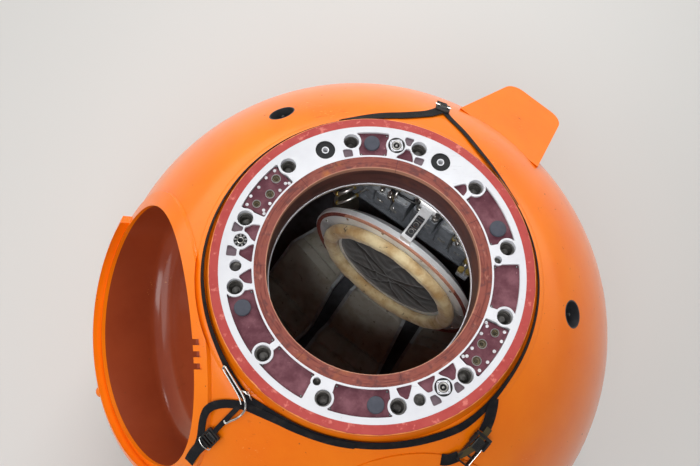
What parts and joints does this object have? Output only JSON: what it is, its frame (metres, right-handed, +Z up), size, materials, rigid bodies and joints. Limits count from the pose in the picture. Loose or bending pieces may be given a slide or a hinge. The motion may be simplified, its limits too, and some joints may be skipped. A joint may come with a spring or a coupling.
{
  "type": "crew descent capsule",
  "caption": "Blunt domed cone with an open round hatch, sockets round the hatch ring, an empty parachute bay and a padded inner lid.",
  "frame": {"origin": "centre of the base, on the floor, on the axis of the base bolt circle", "axes": "+Z up along the hull's axis through the hatch; +X and +Y level, +X to the right and +Y away in the picture's view from above"},
  "size_m": [2.2, 2.2, 1.884],
  "materials": {
    "bare_frame": "worn bare metal frame",
    "bottom_metal": "scuffed primer",
    "engine_metal": "dull cast metal",
    "orange_paint": "glossy orange paint, scuffed",
    "bay_paint": "worn dirty orange paint",
    "cabin_lining": "dark satin paint",
    "dark_metal": "dark satin metal",
    "window_metal": "brushed",
    "window_glass": "clear thick glass",
    "white_paint": "satin white paint",
    "red_composite": "resin and cloth composite",
    "brown_seal": "stained sealing face",
    "tunnel_paint": "dark red satin paint",
    "silver_metal": "machined metal",
    "black_plastic": "moulded",
    "grey_rubber": "moulded rubber",
    "couch_metal": "satin grey",
    "couch_fabric": "quilted cloth",
    "panel_grey": "satin grey",
    "yellow_metal": "dull brass",
    "cream_cushion": "stained cream cover",
    "lid_cover_dark": "dark stained cover",
    "black_webbing": "woven webbing",
    "buckle_metal": "black coated steel",
    "steel_hardware": "polished steel"
  },
  "bodies": {
    "capsule": {"air_valves": "yellow_metal", "base_ring": "bare_frame", "bay_rim": "orange_paint", "black_sockets": "black_plastic", "bottom_plate": "bottom_metal", "cabin_floor": "cabin_lining", "chute_bay": "bay_paint", "couch_pads": "couch_fabric", "couch_shells": "couch_metal", "dome_ports": "dark_metal", "dome_shell": "orange_paint", "equipment_boxes": "panel_grey", "equipment_rack": "dark_metal", "hatch_frame": "white_paint", "hinge_bracket": "silver_metal", "instrument_panel": "panel_grey", "landing_engines": "engine_metal", "lift_ring": "steel_hardware", "neck_strap": "black_webbing", "neck_wall": "orange_paint", "port_plates": "red_composite", "port_rims": "silver_metal", "reserve_drum": "cabin_lining", "reserve_lid": "orange_paint", "ring_body": "red_composite", "ring_connectors": "silver_metal", "rubber_caps": "grey_rubber", "seal_ring": "brown_seal", "seat_flange": "silver_metal", "side_wall": "orange_paint", "sight_fairing": "orange_paint", "sight_window": "dark_metal", "socket_bushes": "white_paint", "socket_cups": "silver_metal", "strap_buckles": "buckle_metal", "thruster_nozzles": "engine_metal", "tunnel_wall": "tunnel_paint", "window_frames": "window_metal", "window_panes": "window_glass"},
    "hatch_lid": {"lid_plate": "silver_metal", "lid_seal": "brown_seal", "lid_cushion": "cream_cushion", "lid_cover": "lid_cover_dark", "lid_arms": "silver_metal", "lid_wheel": "dark_metal"}
  },
  "joints": [
    {"name": "hatch_hinge", "type": "hinge", "parent": "capsule", "child": "hatch_lid", "pos_m": [0.22689, 0.31228, 1.571], "axis": [0.809, -0.5878, 0], "range_deg": [-87, 0]}
  ]
}
